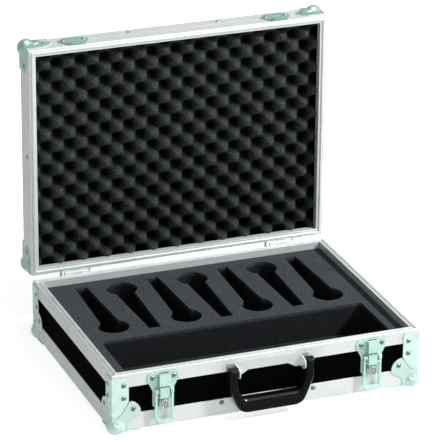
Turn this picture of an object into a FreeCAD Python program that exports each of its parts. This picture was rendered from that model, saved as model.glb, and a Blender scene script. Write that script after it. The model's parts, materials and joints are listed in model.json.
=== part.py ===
import FreeCAD, Part
import math
import os

from FreeCAD import Vector

os.makedirs("parts", exist_ok=True)

# Aluminium microphone case, lid open at a right angle.
# Millimetres, x to the right, y to the rear, z up.
# The origin is on the floor under the middle of the base.

# Whole case, over the aluminium
case_width = 480.0
case_depth = 364.0
base_height = 89.0
lid_height = 43.0
parting_gap = 1.0
cut_overrun = 4.0
running_fit = 0.05
lying_gap = 0.3

# Panels and profiles
skin = 1.5
panel_thick = 7.0
rim_face = 21.0
lid_rim_face = 20.0
rim_lip = 2.3
rim_top = 4.5
rim_chamfer = 0.8
groove_inset = 3.6
groove_width = 3.6
groove_depth = 2.8
tongue_width = 2.4
tongue_height = 2.0
edge_leg = 26.0
edge_chamfer = 1.2
corner_leg = 23.0

# Foam
foam_drop = 12.0
floor_pad_thick = 20.0
slot_count = 7
slot_end_margin = 59.0
slot_length = 174.5
slot_rear_wall = 18.0
slot_head_radius = 24.0
slot_neck_half = 14.5
slot_neck_from_head = 40.0
slot_tail_half = 9.2
trough_side_wall = 23.5
trough_front_wall = 13.5
trough_length = 119.0
trough_round = 6.0
crate_cells_wide = 24
crate_cells_deep = 18
crate_peak_drop = 8.0
crate_wave = 4.7

# Ball corners and braces
ball_radius = 14.0
ball_inset = 7.5
ball_facets = 12
foot_flat = 0.3
cap_thick = 1.2
cap_width = 25.0
flat_lobe_reach = 43.0
flat_lobe_cut = 14.0
lobe_neck = 12.0
lobe_neck_round = 5.0
lobe_tip = 44.0
lobe_tip_height = 23.0
lobe_tip_round = 4.0
lobe_shoulder = 41.0
lobe_shoulder_round = 17.0
lobe_top = 45.5
lid_lobe_tip = 44.0
lid_lobe_tip_height = 20.0
lid_lobe_start = 29.0
lid_lobe_low = 5.0
lid_lobe_top = 35.0
lid_lobe_round = 7.0
lid_lobe_low_round = 3.5
brace_width = 25.0
brace_top = 84.0
brace_top_cut = 2.5
brace_shoulder = 46.0
brace_belly = 14.0
brace_belly_height = 29.5
brace_belly_round = 12.0
brace_tip = 23.0
brace_tip_width = 6.5
brace_tip_round = 3.0
brace_gap = 1.2

# Rivets
rivet_radius = 3.2
rivet_head = 1.0
rivet_facets = 7
brace_rivet_in = 17.0
brace_rivet_heights = (72.0, 52.0)
lobe_rivet_in = 31.5
lobe_rivet_height = 33.5
lid_lobe_rivet_in = 31.0
lid_lobe_rivet_height = 21.0

# Hinges
hinge_from_end = 71.0
hinge_width = 48.0
hinge_leaf_drop = 30.0
hinge_leaf_thick = 1.5
hinge_pivot_out = 4.0
knuckle_radius = 3.5
hinge_pin_radius = 1.5
knuckle_gap = 0.3
lid_knuckle_width = 14.0
base_knuckle_width = 12.0
hinge_stop_width = 3.0
hinge_stop_gap = 0.2
hinge_stop_near = 5.0
hinge_stop_far = 10.0
hinge_neck = 0.8
hinge_stop_drop = 8.6
hinge_rivet_half = 12.0
hinge_rivet_drop = 21.0

# Latches
latch_from_end = 77.0
latch_plate_thick = 1.5
latch_top = 84.5
latch_ear_half = 24.0
latch_ear_round = 6.0
latch_ear_low = 73.0
latch_waist_half = 16.0
latch_waist_height = 57.0
latch_foot = 26.0
latch_foot_half = 9.0
latch_foot_height = 33.0
latch_rivet_half = 16.7
latch_rivet_height = 77.0
lever_pivot_height = 57.0
lever_pivot_out = 4.5
lever_throw = 9.0
lever_pin_radius = 1.6
cheek_inner = 9.2
cheek_thick = 1.2
cheek_radius = 4.5
lever_inner = 11.0
lever_bar = 3.2
lever_thick = 4.0
lever_eye_radius = 4.0
lever_foot = 7.0
lever_foot_bar = 5.0
lever_foot_lip = 2.5
lever_corner = 3.0
claw_strap_half = 7.0
claw_head_half = 8.5
claw_strap_thick = 1.7
claw_eye_radius = 3.4
claw_head_low = 66.0
claw_head_out = 11.5
claw_wall = 1.3
claw_flange_out = 5.0
claw_tip_out = 3.0
claw_tip_drop = 3.5
lock_height = 36.0
lock_radius = 7.5
lock_out = 9.0
lock_plug_radius = 4.5
lock_plug_depth = 6.0
key_slot_width = 1.2
key_slot_half = 3.0
key_slot_depth = 3.0

# Lid strikes
strike_thick = 1.5
strike_tip_half = 24.5
strike_tip_height = 22.0
strike_tip_round = 2.5
strike_head_half = 14.0
strike_head_high = 34.0
strike_head_round = 6.0
strike_tongue_half = 11.0
strike_tongue_low = 2.0
strike_rivet_half = 16.0
strike_rivet_height = 22.0
strike_hook_half = 8.5
strike_hook_out = 6.0
strike_hook_wall = 1.5
strike_hook_lip = 4.0

# Handle
handle_top_half = 66.0
handle_taper = 17.0
handle_arm = 13.5
handle_bend_height = 47.5
handle_grip = 22.5
handle_foot = 6.0
handle_corner = 19.0
handle_inner_corner = 9.0
handle_thick = 18.5
handle_edge_chamfer = 3.5
handle_pivot_height = 69.0
handle_pivot_out = 11.75
handle_pin_radius = 3.0
handle_pin_short = 3.25
handle_ear_gap = 0.5
bracket_short = 3.0
bracket_thick = 1.5
bracket_below = 2.0
bracket_above = 11.5
bracket_ear_radius = 9.0
bracket_ear_thick = 2.0
bracket_round = 2.0
bracket_lobe_half = 43.0
bracket_waist_half = 31.0

foot_drop = ball_radius - ball_inset - foot_flat
half_w = case_width / 2
half_d = case_depth / 2
base_low = foot_drop
rim_z = base_low + base_height
lid_low = rim_z + parting_gap
lid_high = lid_low + lid_height
rim_width = skin + panel_thick + rim_lip
inner_w = half_w - skin - panel_thick
inner_d = half_d - skin - panel_thick
foam_low = base_low + skin + panel_thick
foam_top = rim_z - foam_drop
rim_lip_drop = foam_drop - lying_gap
front = -half_d
slot_pitch = (inner_w - slot_end_margin) * 2 / (slot_count - 1)
hinge_place = half_w - hinge_from_end
latch_place = half_w - latch_from_end
handle_foot_half = handle_top_half - handle_taper
bracket_half = handle_top_half - bracket_short
pivot = Vector(0, half_d + hinge_pivot_out, rim_z + parting_gap / 2)

along_x = Vector(1, 0, 0)
along_y = Vector(0, 1, 0)
along_z = Vector(0, 0, 1)
sides = {"front": ((-1, -1), (1, -1)), "right": ((1, -1), (1, 1)),
         "rear": ((1, 1), (-1, 1)), "left": ((-1, 1), (-1, -1))}
corners = {"front_left": (-1, -1), "front_right": (1, -1),
           "rear_left": (-1, 1), "rear_right": (1, 1)}
hands = {"left": -1, "right": 1}


def box(x, y, z):
    """Box between the two ends given for each axis."""
    low = Vector(min(x), min(y), min(z))
    return Part.makeBox(max(x) - min(x), max(y) - min(y), max(z) - min(z), low)


def rod(start, along, radius, length):
    return Part.makeCylinder(radius, length, start, along)


def fuse(shapes):
    return shapes[0].multiFuse(shapes[1:]).removeSplitter()


def outline(points, place):
    """Closed face through (u, v, radius) corners; place turns u and v into a point."""
    edges = []
    last = None
    first = None
    count = len(points)
    for i in range(count):
        u, v, radius = points[i]
        back = points[i - 1]
        ahead = points[(i + 1) % count]
        here = Vector(u, v, 0)
        to_back = (Vector(back[0], back[1], 0) - here).normalize()
        to_ahead = (Vector(ahead[0], ahead[1], 0) - here).normalize()
        if radius > 0:
            half = to_back.getAngle(to_ahead) / 2
            reach = radius / math.tan(half)
            middle = (to_back + to_ahead).normalize()
            start = here + to_back * reach
            end = here + to_ahead * reach
            mid = here + middle * (radius / math.sin(half) - radius)
        else:
            start = end = here
        if last is not None and last.distanceToPoint(start) > 0:
            edges.append(Part.makeLine(place(last.x, last.y), place(start.x, start.y)))
        if radius > 0:
            arc = Part.Arc(place(start.x, start.y), place(mid.x, mid.y), place(end.x, end.y))
            edges.append(arc.toShape())
        if first is None:
            first = start
        last = end
    edges.append(Part.makeLine(place(last.x, last.y), place(first.x, first.y)))
    return Part.Face(Part.Wire(edges))


def mirrored(points):
    """Both halves of an outline whose right half runs from top to bottom."""
    return points + [(-u, v, radius) for u, v, radius in reversed(points)]


def open_lid(shape):
    """The lid is drawn shut and stands open at rest."""
    turned = shape.copy()
    turned.rotate(pivot, along_x, -90)
    return turned


def flat(points):
    """Flat face through the points in order."""
    return Part.Face(Part.makePolygon(points + points[:1]))


def closed_solid(faces):
    solid = Part.Solid(Part.Shell(faces))
    if solid.Volume < 0:
        solid.reverse()
    return solid


def mitred_bar(profile, side):
    """Bar along one side of the case; the profile holds (inset, height) points."""
    ends = []
    for sx, sy in sides[side]:
        ends.append([Vector(sx * (half_w - i), sy * (half_d - i), z) for i, z in profile])
    faces = [flat(ends[0]), flat(ends[1])]
    for k in range(len(profile)):
        faces.append(flat([ends[0][k - 1], ends[0][k], ends[1][k], ends[1][k - 1]]))
    return closed_solid(faces)


def base_rim_profile():
    lip = rim_width - rim_lip
    groove_end = groove_inset + groove_width
    rows = [(0, -rim_face), (0, -rim_chamfer), (rim_chamfer, 0),
            (groove_inset, 0), (groove_inset, -groove_depth),
            (groove_end, -groove_depth), (groove_end, 0), (rim_width, 0),
            (rim_width, -rim_lip_drop), (lip, -rim_lip_drop), (lip, -rim_top),
            (skin, -rim_top), (skin, -rim_face)]
    return [(i, rim_z + z) for i, z in rows]


def lid_rim_profile():
    lip = rim_width - rim_lip
    start = groove_inset + (groove_width - tongue_width) / 2
    end = start + tongue_width
    rows = [(0, lid_rim_face), (0, rim_chamfer), (rim_chamfer, 0),
            (start, 0), (start, -tongue_height), (end, -tongue_height), (end, 0),
            (rim_width, 0), (rim_width, rim_lip_drop), (lip, rim_lip_drop),
            (lip, rim_top), (skin, rim_top), (skin, lid_rim_face)]
    return [(i, lid_low + z) for i, z in rows]


def edge_profile(low, up, wall_leg):
    """Angle round an outer edge; up is 1 under the base and -1 over the lid."""
    rows = [(edge_chamfer, 0), (0, edge_chamfer), (0, wall_leg), (skin, wall_leg),
            (skin, skin), (edge_leg, skin), (edge_leg, 0)]
    return [(i, low + up * z) for i, z in rows]


def wall_panels(low, high):
    """Front and rear run the full width, and the sides fit between them."""
    outer_w = half_w - skin
    outer_d = half_d - skin
    return {"front": box((-outer_w, outer_w), (-outer_d, -inner_d), (low, high)),
            "rear": box((-outer_w, outer_w), (inner_d, outer_d), (low, high)),
            "left": box((-outer_w, -inner_w), (-inner_d, inner_d), (low, high)),
            "right": box((inner_w, outer_w), (-inner_d, inner_d), (low, high))}


def corner_angles():
    """The four upright angles between the bottom edging and the rim."""
    solids = []
    for sx, sy in corners.values():
        rows = [(edge_chamfer, 0, 0), (corner_leg, 0, 0), (corner_leg, skin, 0),
                (skin, skin, 0), (skin, corner_leg, 0), (0, corner_leg, 0), (0, edge_chamfer, 0)]
        low = base_low + edge_leg
        face = outline(rows, lambda u, v: Vector(sx * (half_w - u), sy * (half_d - v), low))
        solids.append(face.extrude(Vector(0, 0, rim_z - rim_face - low)))
    return Part.makeCompound(solids)


def slot_places():
    """Middle of each slot across the case, and 1 where its head lies to the rear."""
    middle = (slot_count - 1) / 2
    return [((i - middle) * slot_pitch, -1 if i % 2 == 0 else 1) for i in range(slot_count)]


def slot_cutter(x, head_to):
    """A handheld microphone's outline: round head, tapered barrel, squared tail."""
    rear = inner_d - slot_rear_wall
    middle = rear - slot_length / 2
    head_end = middle + head_to * slot_length / 2
    head_middle = head_end - head_to * slot_head_radius
    neck = head_end - head_to * slot_neck_from_head
    tail = middle - head_to * slot_length / 2
    low = foam_low + floor_pad_thick - cut_overrun
    height = foam_top - low + cut_overrun
    head = rod(Vector(x, head_middle, low), along_z, slot_head_radius, height)
    rows = [(slot_neck_half, head_middle, 0), (slot_neck_half, neck, 0),
            (slot_tail_half, tail, 0), (-slot_tail_half, tail, 0),
            (-slot_neck_half, neck, 0), (-slot_neck_half, head_middle, 0)]
    barrel = outline(rows, lambda u, v: Vector(x + u, v, low)).extrude(Vector(0, 0, height))
    return head.fuse(barrel)


def microphone_foam():
    low = foam_low + floor_pad_thick
    block = box((-inner_w, inner_w), (-inner_d, inner_d), (low, foam_top))
    cutters = [slot_cutter(x, head_to) for x, head_to in slot_places()]
    side = inner_w - trough_side_wall
    near = -inner_d + trough_front_wall
    far = near + trough_length
    rows = [(-side, near, trough_round), (side, near, trough_round),
            (side, far, trough_round), (-side, far, trough_round)]
    face = outline(rows, lambda u, v: Vector(u, v, low - cut_overrun))
    cutters.append(face.extrude(Vector(0, 0, foam_top - low + cut_overrun * 2)))
    return block.cut(cutters)


def lid_foam():
    """Convoluted foam: peaks and hollows alternate over a lattice of square cells."""
    span_w = half_w - rim_width - lying_gap
    span_d = half_d - rim_width - lying_gap
    back = lid_high - skin - panel_thick
    mean = lid_low + crate_peak_drop + crate_wave
    step_w = span_w * 2 / crate_cells_wide
    step_d = span_d * 2 / crate_cells_deep

    def node(i, j):
        z = mean - crate_wave * (-1) ** (i + j)
        return Vector(-span_w + i * step_w, -span_d + j * step_d, z)

    faces = []
    for i in range(crate_cells_wide):
        for j in range(crate_cells_deep):
            ring = [node(i, j), node(i + 1, j), node(i + 1, j + 1), node(i, j + 1)]
            middle = (ring[0] + ring[2]) / 2
            middle.z = mean
            for k in range(4):
                faces.append(flat([middle, ring[k], ring[(k + 1) % 4]]))
    walls = [[node(i, 0) for i in range(crate_cells_wide + 1)],
             [node(i, crate_cells_deep) for i in range(crate_cells_wide + 1)],
             [node(0, j) for j in range(crate_cells_deep + 1)],
             [node(crate_cells_wide, j) for j in range(crate_cells_deep + 1)]]
    for row in walls:
        ends = [Vector(row[-1].x, row[-1].y, back), Vector(row[0].x, row[0].y, back)]
        faces.append(flat(row + ends))
    faces.append(flat([Vector(sx * span_w, sy * span_d, back)
                       for sx, sy in ((-1, -1), (1, -1), (1, 1), (-1, 1))]))
    return closed_solid(faces)


def faceted_ball(centre):
    """Ball in flat facets, since there are eight of them."""
    bands = ball_facets // 2

    def point(j, i):
        tilt = math.pi * j / bands
        turn = math.pi * 2 * i / ball_facets
        out = Vector(math.sin(tilt) * math.cos(turn), math.sin(tilt) * math.sin(turn), math.cos(tilt))
        return centre + out * ball_radius

    faces = []
    for i in range(ball_facets):
        faces.append(flat([point(0, i), point(1, i), point(1, i + 1)]))
        faces.append(flat([point(bands, i), point(bands - 1, i), point(bands - 1, i + 1)]))
        for j in range(1, bands - 1):
            faces.append(flat([point(j, i), point(j + 1, i), point(j + 1, i + 1), point(j, i + 1)]))
    return closed_solid(faces)


def base_lobe():
    """Corner's plate on an upright face, as (inwards, up): cap below, shouldered lobe above."""
    return [(-cap_thick, -cap_thick, 0), (cap_width, -cap_thick, 0),
            (cap_width, lobe_neck, lobe_neck_round),
            (lobe_tip, lobe_tip_height, lobe_tip_round),
            (lobe_shoulder, lobe_top, lobe_shoulder_round), (-cap_thick, lobe_top, 0)]


def lid_lobe():
    """The lid's plates run to a point along each edge."""
    return [(-cap_thick, -cap_thick, 0), (cap_width, -cap_thick, 0),
            (lid_lobe_start, lid_lobe_low, lid_lobe_low_round),
            (lid_lobe_tip, lid_lobe_tip_height, lobe_tip_round),
            (lid_lobe_start, lid_lobe_top, lid_lobe_round), (-cap_thick, lid_lobe_top, 0)]


def level_lobe():
    """Corner's plate on the face under the base or over the lid."""
    near = flat_lobe_reach - flat_lobe_cut
    return [(-cap_thick, -cap_thick, 0), (flat_lobe_reach, -cap_thick, 0),
            (flat_lobe_reach, near, 0), (near, flat_lobe_reach, 0),
            (-cap_thick, flat_lobe_reach, 0)]


def brace_shield(gap):
    """Outline of a corner brace as (inwards, up), grown downwards and inwards by a gap."""
    side = brace_width + gap
    low = brace_tip - gap
    return [(-cap_thick, low, 0), (brace_tip_width, low, brace_tip_round),
            (brace_belly + gap, brace_belly_height - gap, brace_belly_round),
            (side, brace_shoulder, 0), (side, brace_top - brace_top_cut, 0),
            (side - brace_top_cut, brace_top, 0), (-cap_thick, brace_top, 0)]


def upright_plate(rows, sx, sy, z, up, start, thick):
    """The same outline laid on both upright faces of one corner, as a pair of plates."""
    on_side = outline(rows, lambda u, v: Vector(sx * (half_w + start), sy * (half_d - u), z + up * v))
    on_end = outline(rows, lambda u, v: Vector(sx * (half_w - u), sy * (half_d + start), z + up * v))
    return [on_side.extrude(along_x * sx * thick), on_end.extrude(along_y * sy * thick)]


def ball_corner(sx, sy, z, up, rows):
    """Pressed corner with a ball: a plate on three faces, the ball outside them."""
    def at(u, v, w):
        return Vector(sx * (half_w - u), sy * (half_d - v), z + up * w)

    def block(low, high):
        a, b = at(low, low, low), at(high, high, high)
        return box((a.x, b.x), (a.y, b.y), (a.z, b.z))

    level = outline(level_lobe(), lambda u, v: at(u, v, -cap_thick))
    shapes = [faceted_ball(at(ball_inset, ball_inset, ball_inset)),
              level.extrude(along_z * up * cap_thick)]
    shapes += upright_plate(rows, sx, sy, z, up, 0, cap_thick)
    whole = shapes[0].multiFuse(shapes[1:])
    return whole.cut(block(0, case_width)).removeSplitter()


def base_ball_corners():
    """Cut out for the braces; the case stands on a small flat under each ball."""
    solids = []
    for sx, sy in corners.values():
        solid = ball_corner(sx, sy, base_low, 1, base_lobe())
        below = box((-case_width, case_width), (-case_depth, case_depth), (-ball_radius, 0))
        room = upright_plate(brace_shield(brace_gap), sx, sy, base_low, 1, -cut_overrun,
                             cut_overrun + ball_radius)
        solids.append(solid.cut([below] + room))
    return Part.makeCompound(solids)


def lid_ball_corners():
    return Part.makeCompound([ball_corner(sx, sy, lid_high, -1, lid_lobe())
                              for sx, sy in corners.values()])


def corner_brace(sx, sy):
    """Upright corner plate: square above, drawn to a rounded tip between the corner's lobes."""
    plates = upright_plate(brace_shield(0), sx, sy, base_low, 1, 0, cap_thick)
    return fuse(plates)


def base_hinge_leaf(x):
    """Leaf on the rear wall, two knuckles, and a hooked stop at each end."""
    rear = half_d
    reach = knuckle_radius + hinge_neck
    half = hinge_width / 2
    shapes = [box((x - half, x + half), (rear, rear + hinge_leaf_thick),
                  (pivot.z - hinge_leaf_drop, pivot.z - reach))]
    for side in hands.values():
        near = x + side * (lid_knuckle_width / 2 + knuckle_gap)
        far = near + side * base_knuckle_width
        start = Vector(min(near, far), pivot.y, pivot.z)
        shapes.append(rod(start, along_x, knuckle_radius, base_knuckle_width))
        shapes.append(box((near, far), (rear, rear + hinge_leaf_thick), (pivot.z - reach, pivot.z)))
        land = pivot.z + hinge_pivot_out - hinge_leaf_thick - hinge_stop_gap
        rows = [(rear, pivot.z - hinge_leaf_drop, 0), (rear, pivot.z - reach, 0),
                (pivot.y + hinge_stop_near, pivot.z - reach, 0),
                (pivot.y + hinge_stop_near, land, 0), (pivot.y + hinge_stop_far, land, 0),
                (pivot.y + hinge_stop_far, pivot.z - hinge_stop_drop, 0)]
        outer = x + side * half
        stop = outline(rows, lambda u, v: Vector(outer, u, v))
        shapes.append(stop.extrude(Vector(-side * hinge_stop_width, 0, 0)))
    whole = fuse(shapes)
    bore = rod(Vector(x - half, pivot.y, pivot.z), along_x, hinge_pin_radius, hinge_width)
    return whole.cut(bore)


def lid_hinge_leaf(x):
    half = hinge_width / 2
    rear = half_d
    reach = knuckle_radius + hinge_neck
    knuckle = lid_knuckle_width / 2
    start = Vector(x - knuckle, pivot.y, pivot.z)
    whole = fuse([box((x - half, x + half), (rear, rear + hinge_leaf_thick),
                      (pivot.z + reach, pivot.z + hinge_leaf_drop)),
                  box((x - knuckle, x + knuckle), (rear, rear + hinge_leaf_thick),
                      (pivot.z, pivot.z + reach)),
                  rod(start, along_x, knuckle_radius, lid_knuckle_width)])
    bore = rod(start, along_x, hinge_pin_radius + running_fit, lid_knuckle_width)
    return open_lid(whole.cut(bore))


def hinge_pins():
    solids = []
    for side in hands.values():
        half = lid_knuckle_width / 2 + knuckle_gap + base_knuckle_width
        start = Vector(side * hinge_place - half, pivot.y, pivot.z)
        solids.append(rod(start, along_x, hinge_pin_radius, half * 2))
    return Part.makeCompound(solids)


lever_axis_y = front - latch_plate_thick - lever_pivot_out
lever_axis_z = base_low + lever_pivot_height
claw_axis_z = lever_axis_z - lever_throw


def latch_plate(x):
    """Riveted plate with two ears, the lever's cheeks bent out of it, and their stub pins."""
    rows = mirrored([(latch_ear_half, latch_top, latch_ear_round),
                     (latch_ear_half, latch_ear_low, latch_ear_round),
                     (latch_waist_half, latch_waist_height, latch_ear_round),
                     (latch_waist_half, latch_foot_height, 0),
                     (latch_foot_half, latch_foot, 0)])
    face = outline(rows, lambda u, v: Vector(x + u, front, base_low + v))
    shapes = [face.extrude(Vector(0, -latch_plate_thick, 0))]
    for side in hands.values():
        inner = x + side * cheek_inner
        outer = inner + side * cheek_thick
        tip = Vector(min(inner, outer), lever_axis_y, lever_axis_z)
        shapes.append(rod(tip, along_x, cheek_radius, cheek_thick))
        shapes.append(box((inner, outer), (lever_axis_y, front - latch_plate_thick),
                          (lever_axis_z - cheek_radius, lever_axis_z + cheek_radius)))
        stub = x + side * (lever_inner + lever_bar)
        low = min(outer, stub)
        shapes.append(rod(Vector(low, lever_axis_y, lever_axis_z), along_x,
                          lever_pin_radius, abs(stub - outer)))
    return fuse(shapes)


def latch_lever(x):
    """Open frame that hangs from the cheeks, with the claw's pin across it."""
    outer = lever_inner + lever_bar
    low = base_low + lever_foot
    back = lever_axis_y + lever_thick / 2
    rows = [(outer, lever_axis_z, 0), (outer, low, lever_corner),
            (-outer, low, lever_corner), (-outer, lever_axis_z, 0),
            (-lever_inner, lever_axis_z, 0),
            (-lever_inner, low + lever_foot_bar, 0),
            (lever_inner, low + lever_foot_bar, 0),
            (lever_inner, lever_axis_z, 0)]
    frame = outline(rows, lambda u, v: Vector(x + u, back, v)).extrude(Vector(0, -lever_thick, 0))
    nose = lever_axis_y - lever_thick / 2
    lip = [(nose, low, 0), (nose - lever_foot_lip, low, 0), (nose, low + lever_foot_bar, 0)]
    lip_face = outline(lip, lambda u, v: Vector(x - lever_inner, u, v))
    shapes = [frame, lip_face.extrude(Vector(lever_inner * 2, 0, 0))]
    for side in hands.values():
        start = Vector(min(x + side * lever_inner, x + side * outer), lever_axis_y, lever_axis_z)
        shapes.append(rod(start, along_x, lever_eye_radius, lever_bar))
    shapes.append(rod(Vector(x - lever_inner, lever_axis_y, claw_axis_z), along_x,
                      lever_pin_radius, lever_inner * 2))
    whole = fuse(shapes)
    bore = rod(Vector(x - outer, lever_axis_y, lever_axis_z), along_x,
               lever_pin_radius + running_fit, outer * 2)
    return whole.cut(bore)


def latch_claw(x):
    """Draw claw: an eye on the lever's pin, a strap, and a hooked head."""
    top = base_low + latch_top
    head_low = base_low + claw_head_low
    strap_front = lever_axis_y - claw_eye_radius
    shapes = [rod(Vector(x - claw_strap_half, lever_axis_y, claw_axis_z), along_x,
                  claw_eye_radius, claw_strap_half * 2),
              box((x - claw_strap_half, x + claw_strap_half),
                  (strap_front, strap_front + claw_strap_thick),
                  (claw_axis_z, head_low + claw_wall))]
    half = claw_head_half
    nose = front - claw_head_out
    rim = front - claw_tip_out
    shapes.append(box((x - half, x + half), (nose, nose + claw_strap_thick), (head_low, top)))
    shapes.append(box((x - half, x + half), (nose, strap_front + claw_strap_thick),
                      (head_low, head_low + claw_wall)))
    shapes.append(box((x - half, x + half), (nose, rim), (top - claw_wall, top)))
    shapes.append(box((x - half, x + half), (rim - claw_wall, rim), (top - claw_tip_drop, top)))
    for side in hands.values():
        edge = x + side * half
        shapes.append(box((edge, edge - side * claw_wall), (nose, front - claw_flange_out),
                          (head_low, top)))
    whole = fuse(shapes)
    bore = rod(Vector(x - claw_strap_half, lever_axis_y, claw_axis_z), along_x,
               lever_pin_radius + running_fit, claw_strap_half * 2)
    return whole.cut(bore)


def lock_body(x):
    """Turned lock housing on the latch plate, open for its plug."""
    face = front - latch_plate_thick
    start = Vector(x, face, base_low + lock_height)
    depth = lock_out - latch_plate_thick
    body = rod(start, -along_y, lock_radius, depth)
    nose = [e for e in body.Edges if abs(e.CenterOfMass.y - (face - depth)) < running_fit
            and e.BoundBox.YLength < running_fit]
    body = body.makeChamfer(rim_chamfer, nose)
    mouth = Vector(x, front - lock_out, base_low + lock_height)
    return body.cut(rod(mouth, along_y, lock_plug_radius + running_fit, lock_plug_depth))


def lock_plug(x):
    mouth = front - lock_out
    depth = lock_plug_depth - lying_gap
    z = base_low + lock_height
    plug = rod(Vector(x, mouth, z), along_y, lock_plug_radius, depth)
    half = key_slot_width / 2
    slot = box((x - half, x + half), (mouth - cut_overrun, mouth + key_slot_depth),
               (z - key_slot_half, z + key_slot_half))
    return plug.cut(slot)


def lid_strike(x):
    """Catch plate on the lid's front wall, hooked away from the rim for the claw."""
    rows = mirrored([(strike_head_half, strike_head_high, strike_head_round),
                     (strike_tip_half, strike_tip_height, strike_tip_round),
                     (strike_tongue_half, strike_tongue_low, 0)])
    face = outline(rows, lambda u, v: Vector(x + u, front, lid_low + v))
    low = lid_low + strike_tongue_low
    half = strike_hook_half
    nose = front - strike_hook_out
    whole = fuse([face.extrude(Vector(0, -strike_thick, 0)),
                  box((x - half, x + half), (nose, front), (low, low + strike_hook_wall)),
                  box((x - half, x + half), (nose, nose + strike_hook_wall),
                      (low, low + strike_hook_lip))])
    return open_lid(whole)


def handle():
    """Moulded bow: a front outline crossed with a side outline, edges eased."""
    top = base_low + handle_pivot_height + handle_thick / 2
    low = base_low + handle_foot
    outer = handle_top_half
    foot = handle_foot_half
    grip = low + handle_grip
    back = front - handle_pivot_out + handle_thick / 2
    bend = base_low + handle_bend_height
    inner = outer - handle_arm
    inner_foot = inner - handle_taper * (bend - grip) / (bend - low)
    rows = mirrored([(outer, top, 0), (outer, bend, 0), (foot, low, handle_corner)])
    opening = mirrored([(inner, top, 0), (inner, bend, 0), (inner_foot, grip, handle_inner_corner)])
    rows += reversed(opening)
    bow = outline(rows, lambda u, v: Vector(u, back, v)).extrude(Vector(0, -handle_thick, 0))
    bow = bow.makeChamfer(handle_edge_chamfer, bow_edges(bow, back, top))
    middle = Vector(-case_width / 2, front - handle_pivot_out, base_low + handle_pivot_height)
    half = handle_thick / 2
    side = fuse([rod(middle, along_x, half, case_width),
                 box((-half_w, half_w), (middle.y - half, middle.y + half),
                     (0, middle.z))])
    bow = bow.common(side)
    return bow.cut(rod(middle, along_x, handle_pin_radius + running_fit, case_width))


def bow_edges(bow, back, top):
    """Edges round the bow's front and back faces, except across the arm ends."""
    front_face = back - handle_thick
    keep = []
    for edge in bow.Edges:
        b = edge.BoundBox
        flat = b.YLength < lying_gap
        on_face = abs(b.YMin - back) < lying_gap or abs(b.YMin - front_face) < lying_gap
        across_end = b.ZMin > top - lying_gap
        if flat and on_face and not across_end:
            keep.append(edge)
    return keep


def handle_bracket():
    """Strip on the rim, deeper at its ends, with an ear bent out beside each arm of the handle."""
    lobe = handle_pivot_height - bracket_ear_radius
    rows = mirrored([(bracket_half, handle_pivot_height + bracket_above, bracket_round),
                     (bracket_half, lobe, bracket_round), (bracket_lobe_half, lobe, bracket_round),
                     (bracket_waist_half, handle_pivot_height - bracket_below, bracket_round)])
    face = outline(rows, lambda u, v: Vector(u, front, base_low + v))
    shapes = [face.extrude(Vector(0, -bracket_thick, 0))]
    radius = bracket_ear_radius
    for side in hands.values():
        outer = side * (handle_top_half - handle_arm - handle_ear_gap)
        inner = outer - side * bracket_ear_thick
        z = base_low + handle_pivot_height
        start = Vector(min(outer, inner), front - handle_pivot_out, z)
        shapes.append(rod(start, along_x, radius, bracket_ear_thick))
        shapes.append(box((outer, inner), (front - handle_pivot_out, front),
                          (z - radius, z + radius)))
    return fuse(shapes)


def handle_pins():
    solids = []
    for side in hands.values():
        outer = side * (handle_top_half - handle_pin_short)
        inner = side * (handle_top_half - handle_arm - handle_ear_gap)
        start = Vector(min(outer, inner), front - handle_pivot_out, base_low + handle_pivot_height)
        solids.append(rod(start, along_x, handle_pin_radius, abs(outer - inner)))
    return Part.makeCompound(solids)


def rivet(place, out):
    """Low set head, a little narrower at its face, in flat facets."""
    across = along_z.cross(out)
    if across.Length < 1:
        across = along_x
    other = out.cross(across)

    def ring(radius, height):
        turns = [math.pi * 2 * i / rivet_facets for i in range(rivet_facets)]
        return [place + out * height + (across * math.cos(t) + other * math.sin(t)) * radius for t in turns]

    low = ring(rivet_radius, 0)
    high = ring(rivet_radius - rivet_head, rivet_head)
    faces = [flat(low), flat(high)]
    for i in range(rivet_facets):
        faces.append(flat([low[i - 1], low[i], high[i], high[i - 1]]))
    return closed_solid(faces)


def corner_rivets(inward, z):
    """Two heads at each corner of the case, one on each upright face."""
    heads = []
    for sx, sy in corners.values():
        side = Vector(sx * (half_w + cap_thick), sy * (half_d - inward), z)
        end = Vector(sx * (half_w - inward), sy * (half_d + cap_thick), z)
        heads += [rivet(side, along_x * sx), rivet(end, along_y * sy)]
    return heads


def paired_rivets(place, half, wall, thick, z):
    """Four heads on the front or rear wall, two through each of a pair of fittings."""
    out = along_y if wall > 0 else -along_y
    return [rivet(Vector(side * place + offset * half, wall + out.y * thick, z), out)
            for side in hands.values() for offset in hands.values()]


def base_rivets():
    heads = corner_rivets(lobe_rivet_in, base_low + lobe_rivet_height)
    for up in brace_rivet_heights:
        heads += corner_rivets(brace_rivet_in, base_low + up)
    heads += paired_rivets(latch_place, latch_rivet_half, front, latch_plate_thick,
                           base_low + latch_rivet_height)
    heads += paired_rivets(hinge_place, hinge_rivet_half, half_d, hinge_leaf_thick,
                           pivot.z - hinge_rivet_drop)
    return Part.makeCompound(heads)


def lid_rivets():
    heads = corner_rivets(lid_lobe_rivet_in, lid_high - lid_lobe_rivet_height)
    heads += paired_rivets(latch_place, strike_rivet_half, front, strike_thick,
                           lid_low + strike_rivet_height)
    heads += paired_rivets(hinge_place, hinge_rivet_half, half_d, hinge_leaf_thick,
                           pivot.z + hinge_rivet_drop)
    return open_lid(Part.makeCompound(heads))


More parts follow.
